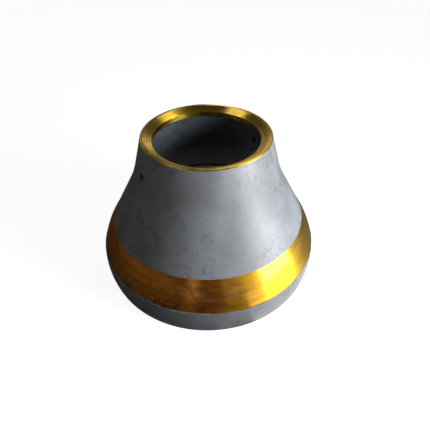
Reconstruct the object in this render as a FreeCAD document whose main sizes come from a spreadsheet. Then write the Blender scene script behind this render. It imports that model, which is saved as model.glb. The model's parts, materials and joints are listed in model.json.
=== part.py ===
import FreeCAD, Part
import math
import os
import Sketcher

# A cone crusher mantle: one manganese steel casting, a thick bell that wears on its outside.
# +Z is the crusher's axis, the origin is the centre of the bottom rim, sizes are millimetres.
# The casting is revolved from its outline and hollowed by its core. The lathe then cuts the
# gauge band round its widest part and the seat at its top. Two holes take the lifting pins.

os.makedirs("parts", exist_ok=True)
doc = FreeCAD.newDocument("cone_crusher_mantle")

# ------------------------------------------------------------------ driving dimensions
SIZES = [
    ("height", 630, "bottom rim to top land"),
    ("skirt_radius", 480, "outside of the skirt where the band begins"),
    ("skirt_curve", 305, "radius of the skirt's rounded outline"),
    ("skirt_wall", 48, "wall of the skirt where the band begins"),
    ("rim_tuck", 8, "how far the rim's outside lies inside the skirt's"),
    ("band_bottom", 130, "height of the gauge band's lower edge"),
    ("band_top", 258, "height of the gauge band's upper edge"),
    ("shoulder_radius", 416, "outside of the casting where the band ends"),
    ("band_curve", 360, "radius of the band's convex outline"),
    ("band_depth", 2, "steel turned off the casting to make the band"),
    ("collar_height", 174, "height of the collar, down to where it would meet the wearing cone"),
    ("collar_angle", 16, "slope of the collar from the axis, degrees"),
    ("blend_curve", 480, "outer radius between wearing cone and collar"),
    ("land_width", 12, "flat ring on top of the collar"),
    ("seat_width", 31, "conical seat between the land and the bore, seen from above"),
    ("seat_depth", 17, "depth of the conical seat below the land"),
    ("bore_radius", 212, "turned bore below the conical seat"),
    ("bore_length", 19, "length of the turned bore"),
    ("neck_step", 8, "height of the sloped step under the bore"),
    ("relief_wall", 46, "wall of the collar and of the wearing cone"),
    ("pad_step", 4, "how far the lower seat stands proud of the relief above it"),
    ("pad_top", 232, "height of the lower seat's upper edge"),
    ("pad_bottom", 127, "height of the lower seat's lower edge"),
    ("hole_radius", 11, "lifting holes"),
    ("hole_drop", 99, "depth of the lifting holes below the top land"),
    ("rim_bevel", 6, "bevel of the bottom rim's outer edge"),
    ("rim_break", 5, "bevel of the bottom rim's inner edge"),
    ("land_break", 2, "bevel of the top land's outer edge"),
]

sheet = doc.addObject("Spreadsheet::Sheet", "sizes")
for row, (alias, value, meaning) in enumerate(SIZES, start=1):
    sheet.set("A" + str(row), alias)
    sheet.set("B" + str(row), str(value))
    sheet.set("C" + str(row), meaning)
    sheet.setAlias("B" + str(row), alias)
doc.recompute()

# Expressions that more than one dimension follows. The collar hangs from the bore and its seat
# down to the knee, and the wearing cone runs from the knee to the shoulder, so its slope follows.
SEAT_RADIUS = "(sizes.bore_radius + sizes.seat_width)"
TOP_RADIUS = "(" + SEAT_RADIUS + " + sizes.land_width)"
RIM_RADIUS = "(sizes.skirt_radius - sizes.rim_tuck)"
MOUTH_RADIUS = "(sizes.skirt_radius - sizes.skirt_wall)"
COLLAR_SLOPE = "tan(sizes.collar_angle * 1 deg)"
KNEE_HEIGHT = "(sizes.height - sizes.collar_height)"
KNEE_RADIUS = "(" + TOP_RADIUS + " + sizes.collar_height * " + COLLAR_SLOPE + ")"
FLARE_SLOPE = "((sizes.shoulder_radius - " + KNEE_RADIUS + ") / (" + KNEE_HEIGHT + " - sizes.band_top))"
FLARE_ANGLE = "atan(" + FLARE_SLOPE + ")"
BORE_BOTTOM = "(sizes.height - sizes.seat_depth - sizes.bore_length)"
NECK_BOTTOM = "(" + BORE_BOTTOM + " - sizes.neck_step)"
# The inner walls run parallel to the outline, so each inner radius is the outline's radius at
# that height less the wall's width across it.
OUTLINE_AT_PAD = "(sizes.shoulder_radius + (sizes.band_top - sizes.pad_top) * " + FLARE_SLOPE + ")"
RELIEF_RADIUS = "(" + OUTLINE_AT_PAD + " - sizes.relief_wall / cos(" + FLARE_ANGLE + "))"
PAD_RADIUS = "(" + RELIEF_RADIUS + " - sizes.pad_step / cos(" + FLARE_ANGLE + "))"
NECK_RADIUS = (
    "(" + TOP_RADIUS + " + (sizes.height - " + NECK_BOTTOM + ") * " + COLLAR_SLOPE
    + " - sizes.relief_wall / cos(sizes.collar_angle * 1 deg))"
)


# ------------------------------------------------------------------ sketch helpers
# The sketcher's own numbers for a piece's start, end and centre, its two axes and its origin.
START, END, CENTRE = range(1, 4)
HORIZONTAL_AXIS, VERTICAL_AXIS = range(-1, -3, -1)
ORIGIN = (HORIZONTAL_AXIS, START)
SAME_PLACE = 0.01


def worked_out(item, expression):
    """The number that an expression of the sheet's sizes gives now, for any object."""
    value = item.evalExpression(expression)
    return float(getattr(value, "Value", value))


def sketch_on(body, role, name):
    """An empty sketch on the origin plane of the body that has this role."""
    plane = next(item for item in body.Origin.OriginFeatures if item.Role == role)
    sketch = body.newObject("Sketcher::SketchObject", name)
    sketch.AttachmentSupport = [(plane, "")]
    sketch.MapMode = "FlatFace"
    return sketch


def spot(sketch, radius, height):
    """A place in the sketch from the expressions of its radius and its height."""
    return worked_out(sketch, radius), worked_out(sketch, height)


def point(place):
    """A sketch point from a radius and a height."""
    return FreeCAD.Vector(place[0], place[1], 0)


def line(sketch, start, end):
    """A line between two places."""
    return sketch.addGeometry(Part.LineSegment(point(start), point(end)), False)


def curve(sketch, start, end, radius):
    """An arc that turns left from start to end. A sketch always keeps arcs in that sense."""
    chord = point(end) - point(start)
    middle = (point(start) + point(end)) * 0.5
    outward = FreeCAD.Vector(chord.y, -chord.x, 0).normalize()
    rise = radius - math.sqrt(radius**2 - (chord.Length / 2) ** 2)
    return sketch.addGeometry(Part.Arc(point(start), middle + outward * rise, point(end)), False)


def fix(sketch, kind, *where):
    """A constraint with no size, such as Coincident or Vertical."""
    return sketch.addConstraint(Sketcher.Constraint(kind, *where))


def drive(sketch, kind, name, expression, *where):
    """A dimension of the sketch that follows an expression of the sheet's sizes."""
    value = worked_out(sketch, expression)
    if kind == "Angle":
        value = math.radians(value)
    index = sketch.addConstraint(Sketcher.Constraint(kind, *where, value))
    sketch.renameConstraint(index, name)
    sketch.setExpression("Constraints." + name, expression)
    return index


def put(sketch, name, geometry, end, radius, height):
    """Two dimensions that put one end of a line or arc at a radius and a height."""
    drive(sketch, "DistanceX", name + "_radius", radius, *ORIGIN, geometry, end)
    drive(sketch, "DistanceY", name + "_height", height, *ORIGIN, geometry, end)


def chain(sketch, *pieces):
    """Lines and arcs of an outline in a row, each ending where the next one starts."""
    for first, second in zip(pieces, pieces[1:]):
        fix(sketch, "Coincident", first, END, second, START)


def turned(body, kind, name, sketch):
    """A Revolution or Groove of the sketch, all the way round the crusher's axis."""
    feature = body.newObject("PartDesign::" + kind, name)
    feature.Profile = sketch
    feature.ReferenceAxis = (sketch, ["V_Axis"])
    feature.Angle = 360
    body.Tip = feature
    doc.recompute()
    return feature


def ring_edges(body, radius, height):
    """Names of the body's round edges about the axis, at this radius and height."""
    centre = FreeCAD.Vector(0, 0, worked_out(body, height))
    ring = Part.Circle(centre, FreeCAD.Vector(0, 0, 1), worked_out(body, radius)).toShape()
    names = []
    for number, edge in enumerate(body.Shape.Edges, start=1):
        gaps = [ring.distToShape(Part.Vertex(spot_on_edge))[0] for spot_on_edge in edge.discretize(5)]
        if max(gaps) < SAME_PLACE:
            names.append("Edge" + str(number))
    return names


def bevelled(body, name, radius, height):
    """A bevel of the ring edge at this radius and height. The sheet holds its size by its name."""
    carrier = body.Tip
    edges = ring_edges(body, radius, height)
    feature = body.newObject("PartDesign::Chamfer", name)
    feature.Base = (carrier, edges)
    feature.setExpression("Size", "sizes." + name)
    body.Tip = feature
    doc.recompute()
    return feature


# ------------------------------------------------------------------ outline and core
def bell_side(sketch, foot, head, blend_radius):
    """Wearing cone, blend and collar from foot to head, each a pair of expressions.

    The outline and the core share it, so both walls keep the same two slopes.
    """
    low_radius, low_height = [worked_out(sketch, text) for text in foot]
    top_radius, top_height = [worked_out(sketch, text) for text in head]
    flare = math.radians(worked_out(sketch, FLARE_ANGLE))
    collar = math.radians(worked_out(sketch, "sizes.collar_angle"))
    radius = worked_out(sketch, blend_radius)
    # The two slopes would meet at the knee; the blend touches each at the same reach from it.
    low_reading = low_radius + low_height * math.tan(flare)
    top_reading = top_radius + top_height * math.tan(collar)
    knee_height = (low_reading - top_reading) / (math.tan(flare) - math.tan(collar))
    knee_radius = low_reading - knee_height * math.tan(flare)
    reach = radius * math.tan((flare - collar) / 2)
    below = (knee_radius + reach * math.sin(flare), knee_height - reach * math.cos(flare))
    above = (knee_radius - reach * math.sin(collar), knee_height + reach * math.cos(collar))
    cone = line(sketch, (low_radius, low_height), below)
    blend = curve(sketch, above, below, radius)
    neck = line(sketch, above, (top_radius, top_height))
    fix(sketch, "Tangent", cone, END, blend, END)
    fix(sketch, "Tangent", blend, START, neck, START)
    drive(sketch, "Radius", "blend", blend_radius, blend)
    drive(sketch, "Angle", "flare", "90 deg + " + FLARE_ANGLE, cone)
    drive(sketch, "Angle", "collar", "(90 + sizes.collar_angle) * 1 deg", neck)
    put(sketch, "foot", cone, START, *foot)
    put(sketch, "head", neck, END, *head)
    return cone, neck


def outline_sketch(body):
    """Half of the solid outline: floor, skirt, shoulder, wearing cone, collar and land."""
    sketch = sketch_on(body, "XZ_Plane", "outline")
    rim = spot(sketch, RIM_RADIUS, "0")
    skirt = spot(sketch, "sizes.skirt_radius", "sizes.band_bottom")
    shoulder = spot(sketch, "sizes.shoulder_radius", "sizes.band_top")
    top = spot(sketch, TOP_RADIUS, "sizes.height")
    bevel = worked_out(sketch, "sizes.rim_bevel")
    floor_end, skirt_foot = (rim[0] - bevel, 0), (rim[0], bevel)
    floor = line(sketch, (0, 0), floor_end)
    corner = line(sketch, floor_end, skirt_foot)
    skirt_side = curve(sketch, skirt_foot, skirt, worked_out(sketch, "sizes.skirt_curve"))
    rim_corner = sketch.addGeometry(Part.Point(point(rim)), True)
    crown = curve(sketch, skirt, shoulder, worked_out(sketch, "sizes.band_curve"))
    cone, neck = bell_side(
        sketch,
        ("sizes.shoulder_radius", "sizes.band_top"),
        (TOP_RADIUS, "sizes.height"),
        "sizes.blend_curve",
    )
    land = line(sketch, top, (0, top[1]))
    axis = line(sketch, (0, top[1]), (0, 0))
    chain(sketch, floor, corner, skirt_side, crown, cone)
    chain(sketch, neck, land, axis, floor)
    fix(sketch, "Coincident", floor, START, *ORIGIN)
    fix(sketch, "Horizontal", floor)
    fix(sketch, "Horizontal", land)
    fix(sketch, "Vertical", axis)
    drive(sketch, "DistanceX", "floor", RIM_RADIUS + " - sizes.rim_bevel", *ORIGIN, floor, END)
    drive(sketch, "Angle", "rim_bevel", "45 deg", corner)
    # The skirt's curve is aimed at the rim's sharp corner, which the bevel takes off.
    put(sketch, "rim", rim_corner, START, RIM_RADIUS, "0")
    fix(sketch, "PointOnObject", rim_corner, START, skirt_side)
    drive(sketch, "Radius", "skirt_curve", "sizes.skirt_curve", skirt_side)
    put(sketch, "skirt", crown, START, "sizes.skirt_radius", "sizes.band_bottom")
    drive(sketch, "Radius", "crown", "sizes.band_curve", crown)
    return sketch


def core_sketch(body):
    """Half of the core that hollows the bell: mouth, lower seat, relief, neck and bore."""
    sketch = sketch_on(body, "XZ_Plane", "core")
    mouth = spot(sketch, MOUTH_RADIUS, "0")
    pad = spot(sketch, PAD_RADIUS, "sizes.pad_top")
    relief = spot(sketch, RELIEF_RADIUS, "sizes.pad_top")
    throat = spot(sketch, NECK_RADIUS, NECK_BOTTOM)
    bore = spot(sketch, "sizes.bore_radius", BORE_BOTTOM)
    top = spot(sketch, "sizes.bore_radius", "sizes.height")
    seat_foot = spot(sketch, MOUTH_RADIUS, "sizes.pad_bottom")
    floor = line(sketch, (0, 0), mouth)
    mouth_side = line(sketch, mouth, seat_foot)
    seat = line(sketch, seat_foot, pad)
    ledge = line(sketch, pad, relief)
    cone, neck = bell_side(
        sketch,
        (RELIEF_RADIUS, "sizes.pad_top"),
        (NECK_RADIUS, NECK_BOTTOM),
        "sizes.blend_curve + sizes.relief_wall",
    )
    step = line(sketch, throat, bore)
    bore_side = line(sketch, bore, top)
    lid = line(sketch, top, (0, top[1]))
    axis = line(sketch, (0, top[1]), (0, 0))
    chain(sketch, floor, mouth_side, seat, ledge, cone)
    chain(sketch, neck, step, bore_side, lid, axis, floor)
    fix(sketch, "Coincident", floor, START, *ORIGIN)
    fix(sketch, "Horizontal", floor)
    fix(sketch, "Vertical", mouth_side)
    fix(sketch, "Horizontal", ledge)
    fix(sketch, "Vertical", bore_side)
    fix(sketch, "Horizontal", lid)
    fix(sketch, "Vertical", axis)
    drive(sketch, "DistanceX", "mouth", MOUTH_RADIUS, *ORIGIN, floor, END)
    drive(sketch, "DistanceY", "pad_bottom", "sizes.pad_bottom", *ORIGIN, seat, START)
    drive(sketch, "DistanceX", "pad_radius", PAD_RADIUS, *ORIGIN, seat, END)
    put(sketch, "bore", bore_side, START, "sizes.bore_radius", BORE_BOTTOM)
    drive(sketch, "DistanceY", "lid", "sizes.height", *ORIGIN, lid, START)
    return sketch


# ------------------------------------------------------------------ cuts of the lathe
def band_sketch(body):
    """What the lathe takes off round the widest part to leave the gauge band."""
    sketch = sketch_on(body, "XZ_Plane", "band_cut")
    low = spot(sketch, "sizes.skirt_radius - sizes.band_depth", "sizes.band_bottom")
    high = spot(sketch, "sizes.shoulder_radius - sizes.band_depth", "sizes.band_top")
    clear = worked_out(sketch, "sizes.skirt_radius + sizes.band_depth")
    crown = curve(sketch, low, high, worked_out(sketch, "sizes.band_curve"))
    upper_side = line(sketch, high, (clear, high[1]))
    outside = line(sketch, (clear, high[1]), (clear, low[1]))
    lower_side = line(sketch, (clear, low[1]), low)
    chain(sketch, crown, upper_side, outside, lower_side, crown)
    fix(sketch, "Horizontal", upper_side)
    fix(sketch, "Vertical", outside)
    fix(sketch, "Horizontal", lower_side)
    drive(sketch, "Radius", "crown", "sizes.band_curve", crown)
    put(sketch, "low", crown, START, "sizes.skirt_radius - sizes.band_depth", "sizes.band_bottom")
    put(sketch, "high", crown, END, "sizes.shoulder_radius - sizes.band_depth", "sizes.band_top")
    drive(sketch, "DistanceX", "clear", "sizes.skirt_radius + sizes.band_depth", *ORIGIN, outside, START)
    return sketch


def seat_sketch(body):
    """The conical seat that the lathe cuts down into the bore from the land."""
    sketch = sketch_on(body, "XZ_Plane", "seat_cut")
    low = spot(sketch, "sizes.bore_radius", "sizes.height - sizes.seat_depth")
    high = spot(sketch, SEAT_RADIUS, "sizes.height")
    floor = line(sketch, (0, low[1]), low)
    cone = line(sketch, low, high)
    lid = line(sketch, high, (0, high[1]))
    axis = line(sketch, (0, high[1]), (0, low[1]))
    chain(sketch, floor, cone, lid, axis, floor)
    fix(sketch, "Horizontal", floor)
    fix(sketch, "Horizontal", lid)
    fix(sketch, "Vertical", axis)
    fix(sketch, "PointOnObject", axis, END, VERTICAL_AXIS)
    put(sketch, "low", cone, START, "sizes.bore_radius", "sizes.height - sizes.seat_depth")
    put(sketch, "high", cone, END, SEAT_RADIUS, "sizes.height")
    return sketch


def lifting_holes(body):
    """Two opposed round holes through the collar, across the axis."""
    sketch = sketch_on(body, "YZ_Plane", "hole")
    centre = FreeCAD.Vector(0, worked_out(sketch, "sizes.height - sizes.hole_drop"), 0)
    radius = worked_out(sketch, "sizes.hole_radius")
    ring = sketch.addGeometry(Part.Circle(centre, FreeCAD.Vector(0, 0, 1), radius), False)
    fix(sketch, "PointOnObject", ring, CENTRE, VERTICAL_AXIS)
    drive(sketch, "DistanceY", "hole_height", "sizes.height - sizes.hole_drop", *ORIGIN, ring, CENTRE)
    drive(sketch, "Radius", "hole_radius", "sizes.hole_radius", ring)
    pocket = body.newObject("PartDesign::Pocket", "lifting_holes")
    pocket.Profile = sketch
    pocket.SideType = "Symmetric"
    pocket.Type = "ThroughAll"
    body.Tip = pocket
    doc.recompute()


# ------------------------------------------------------------------ the mantle
mantle = doc.addObject("PartDesign::Body", "mantle")
mantle.Label = "mantle"
turned(mantle, "Revolution", "bell", outline_sketch(mantle))
turned(mantle, "Groove", "core_hollow", core_sketch(mantle))
turned(mantle, "Groove", "gauge_band", band_sketch(mantle))
turned(mantle, "Groove", "conical_seat", seat_sketch(mantle))
lifting_holes(mantle)
bevelled(mantle, "rim_break", MOUTH_RADIUS, "0")
bevelled(mantle, "land_break", TOP_RADIUS, "sizes.height")

# ------------------------------------------------------------------ checks and files
doc.recompute()
for item in doc.Objects:
    if "Invalid" in item.State or "Error" in item.State:
        raise RuntimeError(item.Name + " did not build: " + str(item.State))
for sketch in doc.findObjects("Sketcher::SketchObject"):
    if not sketch.FullyConstrained:
        raise RuntimeError(sketch.Name + " is not fully constrained")
shape = mantle.Shape
if shape.isNull() or not shape.isValid() or len(shape.Solids) != 1:
    raise RuntimeError("the mantle is not one valid solid")
shape.exportStep("parts/" + mantle.Label + ".step")
extent = shape.optimalBoundingBox()
print("mantle: volume", round(shape.Volume / 1e6, 3), "litres, height", round(extent.ZLength, 3))
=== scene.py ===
"""A cone crusher mantle, dressed over its packed construction model.

The object follows its own order: the painted casting with its lifting holes, the turned gauge
band, the skirt, the turned seats and the hollow. The floor, lights and camera come last.
"""

import json
import math

import bpy
import numpy as np
from mathutils import Matrix, Vector


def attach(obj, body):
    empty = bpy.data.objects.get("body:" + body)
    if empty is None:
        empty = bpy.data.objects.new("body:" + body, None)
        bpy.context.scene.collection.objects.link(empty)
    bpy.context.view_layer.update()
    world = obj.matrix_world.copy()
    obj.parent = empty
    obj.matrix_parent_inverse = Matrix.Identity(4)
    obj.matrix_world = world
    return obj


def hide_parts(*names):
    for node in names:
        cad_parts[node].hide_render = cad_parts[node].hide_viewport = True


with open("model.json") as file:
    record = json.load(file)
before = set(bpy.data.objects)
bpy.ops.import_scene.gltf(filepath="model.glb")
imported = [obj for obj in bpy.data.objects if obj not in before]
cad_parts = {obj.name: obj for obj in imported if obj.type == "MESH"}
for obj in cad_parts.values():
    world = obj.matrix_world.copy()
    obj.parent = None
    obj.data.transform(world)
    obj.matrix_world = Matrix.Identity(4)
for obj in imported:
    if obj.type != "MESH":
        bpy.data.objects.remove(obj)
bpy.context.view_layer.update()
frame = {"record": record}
mounts = {mount["name"]: mount for mount in frame["record"]["mounts"]}

# ------------------------------------------------------------------ wearing cone and collar
# The outside of the bell, cast in manganese steel and brushed with grey paint. It rises from
# the shoulder over the gauge band as a cone, bends in to a steep collar and ends at the land.
# The cast skin is a little uneven, and two drilled lifting holes go through the collar.
HEIGHT = 0.630
SHOULDER = (0.416, 0.258)
BAND_DEPTH = 0.002
COLLAR_HEIGHT = 0.174
COLLAR_SLOPE = math.tan(math.radians(16))
BLEND_CURVE = 0.480
LAND_WIDTH = 0.012
SEAT_WIDTH = 0.031
LAND_BREAK = 0.002
BORE_RADIUS = mounts["top_bore"]["dims"]["r_mm"] / 1000
TOP_RADIUS = BORE_RADIUS + SEAT_WIDTH + LAND_WIDTH
KNEE = (TOP_RADIUS + COLLAR_HEIGHT * COLLAR_SLOPE, HEIGHT - COLLAR_HEIGHT)
FLARE_SLOPE = (SHOULDER[0] - KNEE[0]) / (KNEE[1] - SHOULDER[1])
LAND_EDGE = (TOP_RADIUS - LAND_BREAK, HEIGHT)
COLLAR_HEAD = (TOP_RADIUS + LAND_BREAK * COLLAR_SLOPE, HEIGHT - LAND_BREAK)
HOLE_RADIUS = mounts["lifting_hole_right"]["dims"]["r_mm"] / 1000
HOLE_HEIGHT = mounts["lifting_hole_right"]["pos_m"][2]
HOLE_EDGE = 0.0012
HOLE_CELLS = 7
HOLE_ROWS = np.arange(-16, 17) * 0.0016 + HOLE_HEIGHT
COLUMNS = 480


def column_angles():
    """Angles of the columns round the axis, closer together at both lifting holes.

    angle = t - 0.3 sin(2 t), for t evenly from 0 to a full turn.
    """
    turn = np.arange(COLUMNS) * 2 * np.pi / COLUMNS
    return turn - 0.3 * np.sin(2 * turn)


def bell_radius(heights, foot, head_radius, head_height, curve):
    """Radius of a bell wall at each height: cone, blend and collar.

    The cone leaves its foot at the flare's slope, and the collar leaves its head at the collar's
    slope. A circle of the blend's radius touches both: between its two touching heights the
    radius is centre minus the root of curve squared less the height from the centre squared.
    """
    flare = math.atan(FLARE_SLOPE)
    collar = math.atan(COLLAR_SLOPE)
    cone = foot[0] - (heights - foot[1]) * FLARE_SLOPE
    neck = head_radius + (head_height - heights) * COLLAR_SLOPE
    knee_height = (foot[0] + foot[1] * FLARE_SLOPE - head_radius - head_height * COLLAR_SLOPE) / (
        FLARE_SLOPE - COLLAR_SLOPE
    )
    knee_radius = foot[0] - (knee_height - foot[1]) * FLARE_SLOPE
    reach = curve * math.tan((flare - collar) / 2)
    low = (knee_radius + reach * math.sin(flare), knee_height - reach * math.cos(flare))
    high = (knee_radius - reach * math.sin(collar), knee_height + reach * math.cos(collar))
    centre = (low[0] + curve * math.cos(flare), low[1] + curve * math.sin(flare))
    inside = np.clip(curve**2 - (heights - centre[1]) ** 2, 0, None)
    blend = centre[0] - np.sqrt(inside)
    return np.where(heights < low[1], cone, np.where(heights < high[1], blend, neck))


def rows_between(low, high, step):
    """Even heights from low to high, about one step apart, both ends included."""
    return np.linspace(low, high, max(2, int(round(abs(high - low) / step)) + 1))


def ripple(angles, heights, seed, size):
    """Unevenness of a cast skin, in metres: ten waves of seeded phase round and up the bell.

    Each wave is sin(whole turns x angle + waves up x height + phase), over its own turns.
    """
    draw = np.random.default_rng(seed)
    turns = draw.integers(3, 26, 10)
    climb = draw.uniform(8, 60, 10)
    phase = draw.uniform(0, 2 * np.pi, 10)
    wave = angles[..., None] * turns + heights[..., None] * climb + phase
    return size * (np.sin(wave) / np.sqrt(turns)).sum(axis=-1) / 2


def turned_grid(profile):
    """Points of a profile carried round the axis: (radius cos, radius sin, height)."""
    angles = column_angles()
    radius = profile[:, 0][:, None]
    flat = np.stack([radius * np.cos(angles), radius * np.sin(angles)], axis=-1)
    height = np.broadcast_to(profile[:, 1][:, None, None], flat.shape[:2] + (1,))
    return np.concatenate([flat, height], axis=-1)


def grid_faces(rows, columns):
    """Quads of a grid that closes on itself across its columns, and each quad's row and column."""
    row, column = np.meshgrid(np.arange(rows - 1), np.arange(columns), indexing="ij")
    beside = (column + 1) % columns
    corners = [
        row * columns + column,
        row * columns + beside,
        (row + 1) * columns + beside,
        (row + 1) * columns + column,
    ]
    return np.stack(corners, axis=-1).reshape(-1, 4), row.ravel(), column.ravel()


def skin(name, points, faces, sharp=30):
    """A smooth mesh from points and quads, with edges sharper than this many degrees kept."""
    used, renumbered = np.unique(faces, return_inverse=True)
    faces = renumbered.reshape(-1, 4)
    points = points.reshape(-1, 3)[used]
    mesh = bpy.data.meshes.new(name)
    mesh.vertices.add(len(points))
    mesh.vertices.foreach_set("co", points.astype(np.float32).ravel())
    mesh.loops.add(faces.size)
    mesh.loops.foreach_set("vertex_index", faces.astype(np.int32).ravel())
    mesh.polygons.add(len(faces))
    mesh.polygons.foreach_set("loop_start", np.arange(0, faces.size, 4, dtype=np.int32))
    mesh.update(calc_edges=True)
    mesh.validate()
    mesh.polygons.foreach_set("use_smooth", np.ones(len(faces), dtype=bool))
    mesh.set_sharp_from_angle(angle=math.radians(sharp))
    piece = bpy.data.objects.new(name, mesh)
    bpy.context.scene.collection.objects.link(piece)
    return piece


def hole_steps(row_of_hole):
    """How many rows and columns each grid point lies from the nearer hole's centre."""
    rows = np.arange(row_of_hole[1])[:, None] - row_of_hole[0]
    half = COLUMNS // 2
    columns = (np.arange(COLUMNS)[None, :] + half // 2) % half - half // 2
    return np.broadcast_arrays(rows, columns)


def drilled(points, profile, centre_row):
    """The grid with its points drawn aside round both lifting holes, and the quads that stay.

    Each point within two hole widths moves towards the circle that its square ring becomes:
    (across, up) / distance x ring number x hole radius. The weight falls smoothly from one at
    the hole to nothing at twice its width. Every moved point goes back onto the bell's wall.
    """
    rows, columns = hole_steps((centre_row, len(profile)))
    side = np.where(points[..., 0] > 0, 1.0, -1.0)
    across = points[..., 1] * side
    up = points[..., 2] - HOLE_HEIGHT
    ring = np.maximum(abs(rows), abs(columns)) / HOLE_CELLS
    distance = np.hypot(across, up) + 1e-9
    fade = np.clip(2 - ring, 0, 1)
    weight = fade * fade * (3 - 2 * fade)
    edge = HOLE_RADIUS + HOLE_EDGE
    across = across * (1 - weight) + weight * across / distance * ring * edge
    up = up * (1 - weight) + weight * up / distance * ring * edge
    order = np.argsort(profile[:, 1])
    radius = np.interp(up + HOLE_HEIGHT, profile[order, 1], profile[order, 0])
    out = np.sqrt(np.clip(radius**2 - across**2, 0, None))
    moved = np.stack([out * side, across * side, up + HOLE_HEIGHT], axis=-1)
    points = np.where((weight > 0)[..., None], moved, points)
    faces, row, column = grid_faces(*points.shape[:2])
    corner_rows = np.maximum(abs(row - centre_row), abs(row + 1 - centre_row))
    half = COLUMNS // 2
    left = (column + half // 2) % half - half // 2
    open_cell = (corner_rows <= HOLE_CELLS) & (np.maximum(abs(left), abs(left + 1)) <= HOLE_CELLS)
    return points, faces[~open_cell]


def cone_rows():
    """Heights of the outside's rows, closest together at the lifting holes."""
    low = rows_between(SHOULDER[1], HOLE_ROWS[0], 0.005)
    high = rows_between(HOLE_ROWS[-1], COLLAR_HEAD[1], 0.004)
    return np.concatenate([low[:-1], HOLE_ROWS, high[1:]])


def away_from_holes(points):
    """Nothing at a lifting hole, rising to one 60 mm from it."""
    across = np.hypot(points[..., 1], points[..., 2] - HOLE_HEIGHT)
    return np.clip((across - 0.03) / 0.03, 0, 1)


heights = cone_rows()
outside = bell_radius(heights, SHOULDER, TOP_RADIUS, HEIGHT, BLEND_CURVE)
ledge = np.array([[SHOULDER[0] - BAND_DEPTH, SHOULDER[1]]])
cone_profile = np.column_stack([outside, heights])
cone_grid = turned_grid(cone_profile)
hole_row = int(np.argmin(abs(heights - HOLE_HEIGHT)))
cone_grid, cone_faces = drilled(cone_grid, cone_profile, hole_row)
angles = np.arctan2(cone_grid[..., 1], cone_grid[..., 0])
seam = np.clip((cone_grid[..., 2] - SHOULDER[1]) / 0.02, 0, 1)
seam = seam * np.clip((COLLAR_HEAD[1] - cone_grid[..., 2]) / 0.02, 0, 1)
lift = ripple(angles, cone_grid[..., 2], 7, 0.00045) * seam * away_from_holes(cone_grid)
cone_grid[..., 0] += lift * np.cos(angles)
cone_grid[..., 1] += lift * np.sin(angles)
ledge_grid = turned_grid(np.vstack([ledge, cone_profile[:1]]))
ledge_faces = grid_faces(2, COLUMNS)[0]
wearing_cone = skin(
    "wearing_cone",
    np.concatenate([cone_grid.reshape(-1, 3), ledge_grid.reshape(-1, 3)]),
    np.concatenate([cone_faces, ledge_faces + cone_grid.shape[0] * COLUMNS]),
)


def new_finish(name):
    """An empty procedural finish: the material, its node tree, its shader and Object places."""
    material = bpy.data.materials.new(name)
    material.use_nodes = True
    tree = material.node_tree
    place = tree.nodes.new("ShaderNodeTexCoord").outputs["Object"]
    return material, tree, tree.nodes["Principled BSDF"], place


def add(tree, kind, attributes=None, **inputs):
    """A node's first output. Each input is a number, a colour or another node's output."""
    node = tree.nodes.new("ShaderNode" + kind)
    for name, value in (attributes or {}).items():
        setattr(node, name, value)
    for name, value in inputs.items():
        socket = node.inputs[int(name[1:])] if name[1:].isdigit() else node.inputs[name]
        if isinstance(value, bpy.types.NodeSocket):
            tree.links.new(value, socket)
        else:
            socket.default_value = value
    return next(output for output in node.outputs if output.enabled)


def stretched(tree, place, x, y, z):
    """Places scaled along each axis, so a pattern on them is drawn out the other way."""
    return add(tree, "Mapping", Vector=place, Scale=(x, y, z))


def grain(tree, place, scale, detail=4.0, distortion=0.0):
    """Fractal noise from 0 to 1 with this many features to the metre."""
    return add(tree, "TexNoise", Vector=place, Scale=scale, Detail=detail, Distortion=distortion)


def rise(tree, value, low, high, start=0.0, end=1.0):
    """A smooth step from start, where the value is low, to end, where it is high."""
    settings = {"interpolation_type": "SMOOTHSTEP"}
    return add(tree, "MapRange", settings, _0=value, _1=low, _2=high, _3=start, _4=end)


def calc(tree, operation, first, second=0.0):
    """One sum of two values, such as SUBTRACT or MAXIMUM."""
    return add(tree, "Math", {"operation": operation}, _0=first, _1=second)


def times(tree, first, second):
    """The product of two values."""
    return calc(tree, "MULTIPLY", first, second)


def plus(tree, first, second):
    """Two values added together."""
    return calc(tree, "ADD", first, second)


def tint(tree, share, first, second):
    """A colour between two colours, by a share from 0 to 1."""
    node = tree.nodes.new("ShaderNodeMix")
    node.data_type = "RGBA"
    for socket, value in ((node.inputs[0], share), (node.inputs[6], first), (node.inputs[7], second)):
        if isinstance(value, bpy.types.NodeSocket):
            tree.links.new(value, socket)
        elif socket.type == "RGBA":
            socket.default_value = (*value, 1)
        else:
            socket.default_value = value
    return node.outputs[2]


def vector_sum(tree, operation, first, second, outcome="Vector"):
    """One sum of two vectors, such as CROSS_PRODUCT, or the LENGTH of the first."""
    node = add(tree, "VectorMath", {"operation": operation}, _0=first, _1=second).node
    return node.outputs[outcome]


def shaded(tree, colour, share):
    """A colour made lighter or darker by a share."""
    return add(tree, "VectorMath", {"operation": "SCALE"}, _0=colour, Scale=share)


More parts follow.
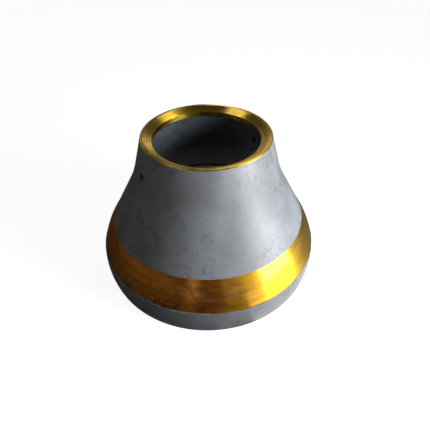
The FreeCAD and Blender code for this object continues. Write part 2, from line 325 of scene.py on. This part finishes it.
def painted_steel(name, grey, dark, streaks, gloss, worn_height=None):
    """Grey brushed paint on cast steel.

    Broad mottling and smudges darken it, brush streaks run round it and a few specks dot it. If
    a worn height is given, the paint is rubbed thin along the turned edge there. Its skin has
    fine wrinkles, and the colour darkens in their hollows as painted shade.
    """
    material, tree, shader, place = new_finish(name)
    mottle = rise(tree, grain(tree, place, 6, 5, 0.4), 0.34, 0.62)
    smudge = rise(tree, grain(tree, stretched(tree, place, 1, 1, 0.7), 24, 6, 1.4), 0.50, 0.68)
    patch = rise(tree, grain(tree, place, 5.5, 2), 0.42, 0.60)
    smudge = times(tree, smudge, patch)
    streak = grain(tree, stretched(tree, place, 1, 1, 14), 7, 5)
    streak = rise(tree, streak, 0.36, 0.66, 1 - streaks, 1 + streaks * 0.6)
    wrinkle = grain(tree, place, 85, 5, 2.2)
    colour = tint(tree, mottle, dark, grey)
    colour = tint(tree, times(tree, smudge, 0.42), colour, [part * 0.45 for part in dark])
    # Painted shade: the colour darkens in the hollows of the wrinkles.
    colour = tint(
        tree, rise(tree, wrinkle, 0.38, 0.62, 0.16, 0.0), colour, [part * 0.5 for part in dark]
    )
    speck = add(tree, "TexVoronoi", Vector=place, Scale=34.0, Randomness=1.0)
    speck = rise(tree, speck, 0.05, 0.10, 1, 0)
    speck = times(tree, speck, rise(tree, grain(tree, place, 9, 2), 0.54, 0.60))
    colour = tint(tree, times(tree, speck, 0.6), colour, (0.03, 0.03, 0.032))
    if worn_height:
        height = add(tree, "SeparateXYZ", _0=place).node.outputs["Z"]
        gap = calc(tree, "ABSOLUTE", calc(tree, "SUBTRACT", height, worn_height))
        worn = rise(tree, gap, 0.0008, 0.0032, 1, 0)
        worn = times(tree, worn, rise(tree, grain(tree, place, 26, 4), 0.42, 0.56))
        colour = tint(tree, times(tree, worn, 0.75), colour, (0.42, 0.36, 0.25))
    tree.links.new(shaded(tree, colour, streak), shader.inputs["Base Color"])
    rough = rise(tree, wrinkle, 0.3, 0.7, gloss - 0.05, gloss + 0.06)
    rough = plus(tree, rough, times(tree, smudge, 0.12))
    tree.links.new(rough, shader.inputs["Roughness"])
    fine = grain(tree, place, 420, 3)
    bristle = grain(tree, stretched(tree, place, 1, 1, 16), 22, 4)
    relief = times(tree, wrinkle, 0.0010)
    relief = plus(tree, relief, times(tree, fine, 0.00012))
    relief = plus(tree, relief, times(tree, bristle, 0.00012))
    bump = add(tree, "Bump", Strength=0.55, Distance=1.0, Height=relief)
    tree.links.new(bump, shader.inputs["Normal"])
    return material


casting_paint = painted_steel(
    "grey_casting_paint", (0.33, 0.34, 0.365), (0.25, 0.255, 0.268), 0.025, 0.40, SHOULDER[1]
)
wearing_cone.data.materials.append(casting_paint)
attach(wearing_cone, "root")
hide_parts("mantle")

# ------------------------------------------------------------------ gauge band
# The widest part of the bell, turned bright on the lathe and lacquered gold against rust. It
# is 2 mm deeper than the casting on both sides, and its outline is slightly convex.
BAND_FOOT = (0.480, 0.130)
BAND_CURVE = 0.360


def bulged(start, end, curve, count):
    """A profile's arc that turns left from start to end, as radius and height pairs.

    The centre lies left of the chord's middle by the root of curve squared less half the chord
    squared. The points are the centre plus curve times (cos, sin) of even angles.
    """
    start, end = np.array(start), np.array(end)
    chord = end - start
    length = np.hypot(*chord)
    inward = np.array([-chord[1], chord[0]]) / length
    centre = (start + end) / 2 + inward * math.sqrt(curve**2 - (length / 2) ** 2)
    first = math.atan2(*(start - centre)[::-1])
    last = math.atan2(*(end - centre)[::-1])
    sweep = np.linspace(first, last, count)
    return centre + curve * np.column_stack([np.cos(sweep), np.sin(sweep)])


def turned_piece(name, profile, sharp=30):
    """A smooth piece from a profile carried round the axis."""
    grid = turned_grid(np.asarray(profile))
    return skin(name, grid, grid_faces(*grid.shape[:2])[0], sharp)


band_low = (BAND_FOOT[0] - BAND_DEPTH, BAND_FOOT[1])
band_high = (SHOULDER[0] - BAND_DEPTH, SHOULDER[1])
gauge_band = turned_piece("gauge_band", bulged(band_low, band_high, BAND_CURVE, 41))


def lacquered_steel(name, yellow, amber, shaded_side, stains, gloss, marks, overpaint=None):
    """Turned steel under gold lacquer.

    The lacquer is amber where it pooled and yellow where it is thin, at random, and it also turns
    amber towards the shaded side given, as painted shade. Lathe marks run round the axis, this
    many to the metre of height and of radius, and stains darken patches, more of them towards the
    shaded side, partly as painted shade. Light spreads across the marks. Overpaint is the height of
    the edge that grey paint laps over, the direction that the lap faces, and its width. Grime lies
    along the same edge.
    """
    material, tree, shader, place = new_finish(name)
    parts = add(tree, "SeparateXYZ", _0=place).node.outputs
    flat = vector_sum(tree, "MULTIPLY", place, (1, 1, 0))
    radius = vector_sum(tree, "LENGTH", flat, (0, 0, 0), "Value")
    depth = times(tree, parts["Z"], marks[0])
    depth = plus(tree, depth, times(tree, radius, marks[1]))
    slow_parts = add(tree, "SeparateXYZ", _0=shaded(tree, flat, 2.4)).node.outputs
    groove_place = add(tree, "CombineXYZ", _0=slow_parts["X"], _1=slow_parts["Y"], _2=depth)
    groove = grain(tree, groove_place, 1.0, 3)
    sweep = grain(tree, stretched(tree, groove_place, 1, 1, 0.12), 1.0, 4)
    # Painted shade, in part: the lacquer turns amber and stains gather towards the shaded side.
    toward_shaded_side = vector_sum(tree, "DOT_PRODUCT", place, shaded_side, "Value")
    amber_and_shade = rise(tree, plus(tree, toward_shaded_side, grain(tree, place, 5, 4)), 0.36, 0.86)
    colour = tint(tree, amber_and_shade, yellow, amber)
    patch = grain(tree, stretched(tree, place, 1, 1, 1.6), 9, 6, 0.8)
    patch = plus(tree, patch, times(tree, toward_shaded_side, 0.16))
    patch = rise(tree, patch, 0.50, 0.74)
    colour = tint(tree, times(tree, patch, stains), colour, (0.16, 0.055, 0.008))
    rust = rise(tree, grain(tree, stretched(tree, place, 1, 1, 2.2), 17, 5, 1.0), 0.45, 0.60)
    rust = times(tree, rust, rise(tree, toward_shaded_side, -0.1, 0.3))
    colour = tint(tree, times(tree, rust, stains * 1.4), colour, (0.62, 0.12, 0.01))
    line = rise(tree, groove, 0.32, 0.68, 0.80, 1.08)
    line = times(tree, line, rise(tree, sweep, 0.34, 0.66, 0.86, 1.06))
    colour = shaded(tree, colour, line)
    rough = rise(tree, groove, 0.3, 0.7, gloss - 0.04, gloss + 0.05)
    rough = plus(tree, rough, times(tree, patch, 0.10))
    shader.inputs["Metallic"].default_value = 1.0
    if overpaint:
        edge, facing, width = overpaint
        lap = rise(tree, vector_sum(tree, "DOT_PRODUCT", place, facing, "Value"), 0.30, 0.44)
        above_edge = calc(tree, "SUBTRACT", parts["Z"], edge)
        grime = rise(tree, plus(tree, above_edge, times(tree, patch, -0.02)), 0, 0.03, 1, 0)
        spots = rise(tree, grain(tree, place, 30, 5, 0.8), 0.44, 0.60)
        grime = times(tree, times(tree, grime, spots), lap)
        colour = tint(tree, times(tree, grime, 0.75), colour, (0.06, 0.022, 0.005))
        ragged = grain(tree, stretched(tree, place, 1, 1, 0.8), 16, 7, 0.6)
        ragged = rise(tree, ragged, 0.36, 0.66, -0.2, 1)
        reach = times(tree, times(tree, ragged, lap), width)
        blur = 0.0006
        over = calc(tree, "SUBTRACT", plus(tree, reach, edge + blur), parts["Z"])
        over = rise(tree, over, -blur, blur)
        colour = tint(tree, over, colour, (0.20, 0.205, 0.20))
        rough = plus(tree, rough, times(tree, over, 0.12))
        tree.links.new(calc(tree, "SUBTRACT", 1.0, over), shader.inputs["Metallic"])
    tree.links.new(colour, shader.inputs["Base Color"])
    tree.links.new(rough, shader.inputs["Roughness"])
    shader.inputs["Anisotropic"].default_value = 0.94
    shader.inputs["Anisotropic Rotation"].default_value = 0.25
    round_axis = vector_sum(tree, "CROSS_PRODUCT", (0, 0, 1), place)
    tree.links.new(round_axis, shader.inputs["Tangent"])
    shader.inputs["Coat Weight"].default_value = 0.45
    shader.inputs["Coat Roughness"].default_value = 0.18
    bump = add(tree, "Bump", Strength=0.3, Distance=0.0004, Height=groove)
    tree.links.new(bump, shader.inputs["Normal"])
    return material


FACING = math.radians(-31.52)


def round_bell(azimuth):
    """The flat direction this many degrees to the right of the bell's front, as x, y and z."""
    turn = math.radians(azimuth - 90) + FACING
    return (math.cos(turn), math.sin(turn), 0.0)


# The band's lacquer turns amber towards the bell's left side, partly as painted shade.
band_lacquer = lacquered_steel(
    "gold_lacquered_band",
    (0.86, 0.50, 0.008),
    (0.78, 0.28, 0.018),
    [1.3 * part for part in round_bell(-60)],
    0.42,
    0.33,
    (620, 0),
    (BAND_FOOT[1], round_bell(-42), 0.008),
)
gauge_band.data.materials.append(band_lacquer)
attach(gauge_band, "root")
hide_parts("mantle")

# ------------------------------------------------------------------ skirt and bottom rim
# The rounded foot of the casting below the band, left as cast and painted grey, a darker copy
# of the casting's grey as painted shade. Its flat rim stands on the floor with a bevel outside
# and a broken edge inside, and the mouth goes up straight to the lower seat.
SKIRT_CURVE = 0.305
SKIRT_WALL = 0.048
RIM_TUCK = 0.008
RIM_BEVEL = 0.006
RIM_BREAK = 0.005
SEAT_FOOT = 0.127
MOUTH = BAND_FOOT[0] - SKIRT_WALL
RIM = BAND_FOOT[0] - RIM_TUCK


def skirt_profile():
    """Mouth, broken edge, flat rim, bevel and rounded skirt up to the band's lower ledge."""
    side = bulged((RIM, 0), BAND_FOOT, SKIRT_CURVE, 61)
    clear_of_bevel = side[:, 0] - side[:, 1] < RIM - RIM_BEVEL
    mouth = rows_between(SEAT_FOOT, RIM_BREAK, 0.012)
    return np.vstack(
        [
            np.column_stack([np.full(len(mouth), MOUTH), mouth]),
            [[MOUTH + RIM_BREAK, 0]],
            [[RIM - RIM_BEVEL, 0]],
            side[clear_of_bevel],
            [[BAND_FOOT[0] - BAND_DEPTH, BAND_FOOT[1]]],
        ]
    )


skirt = turned_piece("skirt", skirt_profile())
# Painted shade: the skirt's grey is a darker copy of the casting's.
shaded_skirt_paint = painted_steel(
    "grey_skirt_paint", (0.24, 0.25, 0.272), (0.175, 0.18, 0.19), 0.09, 0.40, BAND_FOOT[1]
)
skirt.data.materials.append(shaded_skirt_paint)
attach(skirt, "root")
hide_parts("mantle")

# ------------------------------------------------------------------ top seat
# The land, the conical seat for the burning ring and the short bore, turned in one setting and
# lacquered gold. The land's outer edge has a small bevel.
SEAT_DEPTH = 0.017
BORE_LENGTH = 0.019
BORE_FOOT = HEIGHT - SEAT_DEPTH - BORE_LENGTH


def straight(*corners, step=0.004):
    """Points along straight runs between corners, about one step apart."""
    corners = np.array(corners)
    runs = [
        np.linspace(start, end, max(2, int(round(np.hypot(*(end - start)) / step)) + 1))[:-1]
        for start, end in zip(corners, corners[1:])
    ]
    return np.vstack(runs + [corners[-1:]])


top_seat = turned_piece(
    "top_seat",
    straight(
        COLLAR_HEAD,
        LAND_EDGE,
        (TOP_RADIUS - LAND_WIDTH, HEIGHT),
        (BORE_RADIUS, HEIGHT - SEAT_DEPTH),
        (BORE_RADIUS, BORE_FOOT),
    ),
    sharp=20,
)
seat_lacquer = lacquered_steel(
    "gold_lacquered_seat",
    (0.80, 0.56, 0.06),
    (0.68, 0.40, 0.035),
    (0, 0, 0),
    0.5,
    0.27,
    (300, 560),
)
top_seat.data.materials.append(seat_lacquer)
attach(top_seat, "root")
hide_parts("mantle")

# ------------------------------------------------------------------ hollow of the bell
# The cored inside, left rough with a thin coat of paint, darker and bluer than the outside's,
# partly its own colour and partly painted shade. A sloped step leads from the bore to the
# collar's relief, and the wall runs down parallel to the outside as far as the lower seat.
RELIEF_WALL = 0.046
NECK_STEP = 0.008
PAD_STEP = 0.004
PAD_TOP = 0.232
FLARE_COS = math.cos(math.atan(FLARE_SLOPE))
COLLAR_COS = math.cos(math.atan(COLLAR_SLOPE))
NECK_FOOT = BORE_FOOT - NECK_STEP
NECK_RADIUS = TOP_RADIUS + (HEIGHT - NECK_FOOT) * COLLAR_SLOPE - RELIEF_WALL / COLLAR_COS
OUTLINE_AT_PAD = SHOULDER[0] + (SHOULDER[1] - PAD_TOP) * FLARE_SLOPE
RELIEF_RADIUS = OUTLINE_AT_PAD - RELIEF_WALL / FLARE_COS
PAD_RADIUS = RELIEF_RADIUS - PAD_STEP / FLARE_COS

heights = np.concatenate(
    [
        rows_between(NECK_FOOT, HOLE_ROWS[-1], 0.005)[:-1],
        HOLE_ROWS[::-1],
        rows_between(HOLE_ROWS[0], PAD_TOP, 0.006)[1:],
    ]
)
inside = bell_radius(
    heights, (RELIEF_RADIUS, PAD_TOP), NECK_RADIUS, NECK_FOOT, BLEND_CURVE + RELIEF_WALL
)
hollow_profile = np.column_stack([inside, heights])
hollow_grid = turned_grid(hollow_profile)
inner_row = int(np.argmin(abs(heights - HOLE_HEIGHT)))
hollow_grid, hollow_faces = drilled(hollow_grid, hollow_profile, inner_row)
angles = np.arctan2(hollow_grid[..., 1], hollow_grid[..., 0])
seam = np.clip((NECK_FOOT - hollow_grid[..., 2]) / 0.02, 0, 1)
seam = seam * np.clip((hollow_grid[..., 2] - PAD_TOP) / 0.02, 0, 1)
lift = ripple(angles, hollow_grid[..., 2], 19, 0.0008) * seam * away_from_holes(hollow_grid)
hollow_grid[..., 0] += lift * np.cos(angles)
hollow_grid[..., 1] += lift * np.sin(angles)
step_grid = turned_grid(np.array([[BORE_RADIUS, BORE_FOOT], [NECK_RADIUS, NECK_FOOT]]))
hollow = skin(
    "hollow",
    np.concatenate([hollow_grid.reshape(-1, 3), step_grid.reshape(-1, 3)]),
    np.concatenate([hollow_faces, grid_faces(2, COLUMNS)[0] + hollow_grid.shape[0] * COLUMNS]),
)
# Partly painted shade: the hollow's paint is darker than the outside's.
shaded_hollow_paint = painted_steel(
    "grey_hollow_paint", (0.16, 0.19, 0.23), (0.10, 0.12, 0.145), 0.02, 0.42
)
hollow.data.materials.append(shaded_hollow_paint)
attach(hollow, "root")
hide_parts("mantle")

# ------------------------------------------------------------------ lifting holes
# Two holes of 22 mm drilled across the collar, for the pins that the mantle hangs from. Both
# ends have a broken edge, and the drilled wall is painted near black as painted shade.


def hole_loop(count):
    """The square ring of grid steps round a hole, in order of angle, as rows and columns."""
    row, column = np.meshgrid(np.arange(-count, count + 1), np.arange(-count, count + 1), indexing="ij")
    rim = np.maximum(abs(row), abs(column)) == count
    return row[rim], column[rim]


def hole_tube():
    """The wall of one hole, from the outside's edge to the hollow's edge.

    Round the hole the points are (radius cos, radius sin) at the angles of the two edges, from
    one to the other in even shares. The radius follows a quarter circle at both ends, and the
    place along the hole runs from the bell's outside to its inside, one wall at each angle.
    """
    rows, columns = hole_loop(HOLE_CELLS)
    outer = cone_grid[hole_row + rows, columns % COLUMNS]
    inner = hollow_grid[inner_row - rows, columns % COLUMNS]
    outer_angle = np.arctan2(outer[:, 2] - HOLE_HEIGHT, outer[:, 1])
    inner_angle = np.arctan2(inner[:, 2] - HOLE_HEIGHT, inner[:, 1])
    order = np.argsort(outer_angle)
    outer_angle, inner_angle = outer_angle[order], inner_angle[order]
    bend = np.linspace(0, np.pi / 2, 5)
    depth = HOLE_EDGE * (1 - np.cos(bend))
    wider = HOLE_EDGE * (1 - np.sin(bend))
    share = np.concatenate([np.zeros(5), np.linspace(0, 1, 9)[1:-1], np.ones(5)])
    radius = HOLE_RADIUS + np.concatenate([wider, np.zeros(7), wider[::-1]])
    inset = np.concatenate([depth, np.zeros(7), -depth[::-1]])
    angle = outer_angle + (inner_angle - outer_angle) * share[:, None]
    across = radius[:, None] * np.cos(angle)
    up = HOLE_HEIGHT + radius[:, None] * np.sin(angle)
    wall_out = np.sqrt(np.interp(up, cone_profile[:, 1], cone_profile[:, 0]) ** 2 - across**2)
    inner_up = hollow_profile[::-1, 1]
    wall_in = np.sqrt(np.interp(up, inner_up, hollow_profile[::-1, 0]) ** 2 - across**2)
    along = wall_out + (wall_in - wall_out) * share[:, None] - inset[:, None]
    return np.stack([along, across, up], axis=-1)


tube = hole_tube()
other_tube = tube * np.array([-1, -1, 1])
tube_faces = grid_faces(*tube.shape[:2])[0]
lifting_holes = skin(
    "lifting_holes",
    np.concatenate([tube.reshape(-1, 3), other_tube.reshape(-1, 3)]),
    np.concatenate([tube_faces, tube_faces + tube.shape[0] * tube.shape[1]]),
)
# Painted shade: the hole's wall is near black.
shaded_hole_paint = painted_steel(
    "dark_hole_paint", (0.035, 0.037, 0.04), (0.02, 0.02, 0.022), 0.02, 0.6
)
lifting_holes.data.materials.append(shaded_hole_paint)
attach(lifting_holes, "root")
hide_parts("mantle")

# ------------------------------------------------------------------ lower seat
# The cone inside the bell that rests on the crusher's head, turned bright and lacquered. It
# stands 4 mm proud of the relief above it, over a small flat ledge. Its lacquer is made darker
# as painted shade inside the bell.
lower_seat = turned_piece(
    "lower_seat",
    straight((RELIEF_RADIUS, PAD_TOP), (PAD_RADIUS, PAD_TOP), (MOUTH, SEAT_FOOT), step=0.008),
)
# Painted shade: the lower seat's lacquer is made dark.
shaded_lower_seat_lacquer = lacquered_steel(
    "dark_lacquered_lower_seat",
    (0.30, 0.20, 0.03),
    (0.22, 0.13, 0.02),
    (0, 0, 0),
    0.4,
    0.42,
    (300, 560),
)
lower_seat.data.materials.append(shaded_lower_seat_lacquer)
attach(lower_seat, "root")
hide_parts("mantle")

# ------------------------------------------------------------------ floor
# A plain pale floor, wide enough for every view. It shows white, with the bell's shadow, and
# its white glow stops under the bell's mouth, a painted shade there.
FLOOR_HALF = 30


def flat_sheet(name, corners, finish):
    """A flat sheet with four corners and one finish."""
    mesh = bpy.data.meshes.new(name)
    mesh.from_pydata(corners, [], [(0, 1, 2, 3)])
    mesh.materials.append(finish)
    sheet = bpy.data.objects.new(name, mesh)
    bpy.context.scene.collection.objects.link(sheet)
    return sheet


def square(middle, half, height):
    """The corners of a level square round its middle."""
    signs = ((-1, -1), (1, -1), (1, 1), (-1, 1))
    return [(middle[0] + half * a, middle[1] + half * b, height) for a, b in signs]


floor_finish, tree, shader, place = new_finish("pale_floor")
shader.inputs["Base Color"].default_value = (0.55, 0.55, 0.55, 1)
shader.inputs["Roughness"].default_value = 0.9
shader.inputs["Specular IOR Level"].default_value = 0.1


def seen_rays(tree):
    """One for the rays that show a background: camera, glossy and transmission rays."""
    paths = tree.nodes.new("ShaderNodeLightPath").outputs
    shown = calc(tree, "MAXIMUM", paths["Is Camera Ray"], paths["Is Glossy Ray"])
    return calc(tree, "MAXIMUM", shown, paths["Is Transmission Ray"])


reach = vector_sum(tree, "LENGTH", place, (0, 0, 0), "Value")
# Painted shade: the floor's white glow stops under the bell's mouth, so it stays dark there.
glow_outside_painted_shade = rise(tree, reach, 0.36, 0.47, 0.0, 0.915)
white = add(tree, "Emission", Color=(1, 1, 1, 1), Strength=times(tree, seen_rays(tree), glow_outside_painted_shade))
whole = add(tree, "AddShader", _0=shader.outputs["BSDF"], _1=white)
tree.links.new(whole, tree.nodes["Material Output"].inputs["Surface"])
floor = flat_sheet("floor", square((0, 0), FLOOR_HALF, 0), floor_finish)

# ------------------------------------------------------------------ studio light
# One broad soft light from the right and a dim even surround. A glowing dome that only
# reflections see holds painted reflections of the studio's dark and light panels, with three
# glowing cards under it as painted reflections too. Two cloths that only reflections see lie on
# the floor, at the left and behind, as painted dark reflections.
MIDDLE = Vector((0, 0, 0.35))
DOME_RADIUS = 6.0
DOME_RINGS = 25
DOME_COLUMNS = 72
CARD_DISTANCE = 5.0
CLOTH_HEIGHT = 0.001


def toward(azimuth, elevation, distance):
    """A place round the bell: azimuth in degrees right of its front, elevation and distance."""
    rise_angle = math.radians(elevation)
    flat = Vector(round_bell(azimuth)) * math.cos(rise_angle)
    return distance * (flat + Vector((0, 0, math.sin(rise_angle))))


def soft_light(name, azimuth, elevation, distance, width, height, power, colour):
    """A rectangular lamp that faces the bell's middle, out of every view."""
    lamp = bpy.data.lights.new(name, "AREA")
    lamp.shape = "RECTANGLE"
    lamp.size = width
    lamp.size_y = height
    lamp.energy = power
    lamp.color = colour
    holder = bpy.data.objects.new(name, lamp)
    holder.location = MIDDLE + toward(azimuth, elevation, distance)
    holder.rotation_euler = (MIDDLE - holder.location).to_track_quat("-Z", "Y").to_euler()
    holder.visible_camera = False
    bpy.context.scene.collection.objects.link(holder)


soft_light("key", 65, 12, 2.4, 1.4, 1.5, 82, (0.95, 0.975, 1.0))


def only_reflected(piece):
    """The piece shows in reflections alone: it lights nothing, shades nothing and isn't seen."""
    piece.visible_camera = False
    piece.visible_diffuse = False
    piece.visible_shadow = False
    piece.visible_transmission = False
    piece.visible_volume_scatter = False


def glowing(name, colour, strength):
    """A finish that only glows."""
    finish, tree, shader, place = new_finish(name)
    glow = add(tree, "Emission", Color=colour, Strength=strength)
    tree.links.new(glow, tree.nodes["Material Output"].inputs["Surface"])
    return finish


def dome_points(radius):
    """A half sphere: radius times (cos rise cos turn, cos rise sin turn, sin rise)."""
    rise_angle = np.linspace(0, np.pi / 2, DOME_RINGS)[:, None]
    turn = (np.arange(DOME_COLUMNS) * 2 * np.pi / DOME_COLUMNS)[None, :]
    across = np.cos(rise_angle)
    up = np.broadcast_to(np.sin(rise_angle), (DOME_RINGS, DOME_COLUMNS))
    return radius * np.stack([across * np.cos(turn), across * np.sin(turn), up], axis=-1)


dome_faces = grid_faces(DOME_RINGS, DOME_COLUMNS)[0][:, ::-1]
# Painted reflections: the dome glows with dark and light panels round the bell, seen only in
# reflections.
dome = skin("panel_dome", dome_points(DOME_RADIUS), dome_faces)
dome_finish, tree, shader, place = new_finish("studio_panels")
turned_place = add(tree, "VectorRotate", {"rotation_type": "Z_AXIS"}, _0=place, Angle=-FACING)
sides = add(tree, "SeparateXYZ", _0=turned_place).node.outputs
way = calc(tree, "ARCTAN2", sides["X"], times(tree, sides["Y"], -1.0))
way = plus(tree, times(tree, way, 0.5 / math.pi), 0.5)
panels = tree.nodes.new("ShaderNodeValToRGB")
panels.color_ramp.elements.remove(panels.color_ramp.elements[1])
panels.color_ramp.elements[0].color = (0.07, 0.07, 0.07, 1)
PANEL_SHADES = (
    (-150, 0.08),
    (-120, 0.07),
    (-30, 0.075),
    (-20, 0.07),
    (-17, 0.42),
    (-12, 0.42),
    (-9, 0.06),
    (6, 0.06),
    (13, 0.09),
    (17, 0.42),
    (21, 0.26),
    (30, 0.38),
    (45, 0.52),
    (60, 0.8),
    (80, 0.3),
    (100, 0.14),
    (115, 0.12),
    (126, 0.08),
    (170, 0.06),
)
for azimuth, shade in PANEL_SHADES:
    stop = panels.color_ramp.elements.new((azimuth + 180) / 360)
    stop.color = (shade, shade, shade, 1)
tree.links.new(way, panels.inputs["Fac"])
panel_top, ceiling = (DOME_RADIUS * math.sin(math.radians(angle)) for angle in (22, 40))
high = rise(tree, sides["Z"], panel_top, ceiling)
strength = tint(tree, high, panels.outputs["Color"], (0.03, 0.03, 0.03))
glow = add(tree, "Emission", Color=strength, Strength=2.0)
tree.links.new(glow, tree.nodes["Material Output"].inputs["Surface"])
dome.data.materials.append(dome_finish)
only_reflected(dome)


def high_card(name, azimuth, elevation, width, height, strength):
    """A glowing card under the dome that faces the bell, a painted reflection seen only in its turned
    faces.
    """
    across = Vector(round_bell(azimuth + 90))
    out = toward(azimuth, elevation, 1.0)
    up = out.cross(across)
    corners = [
        MIDDLE + out * CARD_DISTANCE + across * (width * a) + up * (height * b)
        for a, b, _ in square((0, 0), 0.5, 0)
    ]
    only_reflected(flat_sheet(name, corners, glowing(name + "_glow", (1, 1, 1, 1), strength)))


high_card("card_right", 108, 50, 1.6, 2.4, 6.0)
high_card("card_behind", 178, 26, 0.5, 1.0, 6.0)
high_card("card_left", -120, 64, 1.0, 1.4, 5.0)


def reflection_cloth(name, azimuth, distance, half, shade):
    """A square cloth on the floor, that many metres to each side of its middle, seen only in
    reflections as a painted dark reflection.
    """
    finish, tree, shader, place = new_finish(name)
    shader.inputs["Base Color"].default_value = (shade, shade, shade, 1)
    shader.inputs["Roughness"].default_value = 1.0
    corners = square(toward(azimuth, 0, distance), half, CLOTH_HEIGHT)
    only_reflected(flat_sheet(name, corners, finish))


# Painted dark reflections: both cloths show only in the bell's reflections.
reflection_cloth("dark_cloth", -75, 3.2, 3.0, 0.08)
reflection_cloth("grey_cloth", 150, 3.0, 2.2, 0.23)

world = bpy.data.worlds.new("studio")
world.use_nodes = True
tree = world.node_tree
surround = tree.nodes["Background"]
surround.inputs["Strength"].default_value = 1.0
tree.links.new(tint(tree, seen_rays(tree), (0.075, 0.077, 0.072), (1, 1, 1)), surround.inputs["Color"])
bpy.context.scene.world = world

# ------------------------------------------------------------------ camera
# Held at a person's height in front of the bell, looking down into its top.
ELEVATION = math.radians(41.758)
ROLL = math.radians(-0.546)
DISTANCE = 1.6677
TARGET = Vector((0.0304, 0, 0.2057))
ahead = Vector((0, math.cos(ELEVATION), -math.sin(ELEVATION)))
level = Vector((1, 0, 0))
above = Vector((0, math.sin(ELEVATION), math.cos(ELEVATION)))
right = math.cos(ROLL) * level + math.sin(ROLL) * above
upward = math.cos(ROLL) * above - math.sin(ROLL) * level
pose = Matrix((right, upward, -ahead)).transposed().to_4x4()
pose.translation = TARGET - ahead * DISTANCE
camera_data = bpy.data.cameras.new("camera")
camera_data.sensor_width = 36
camera_data.lens = 30.165
camera = bpy.data.objects.new("camera", camera_data)
camera.matrix_world = Matrix.Rotation(FACING, 4, "Z") @ pose
bpy.context.scene.collection.objects.link(camera)
bpy.context.scene.camera = camera
bpy.context.scene.view_settings.view_transform = "Standard"
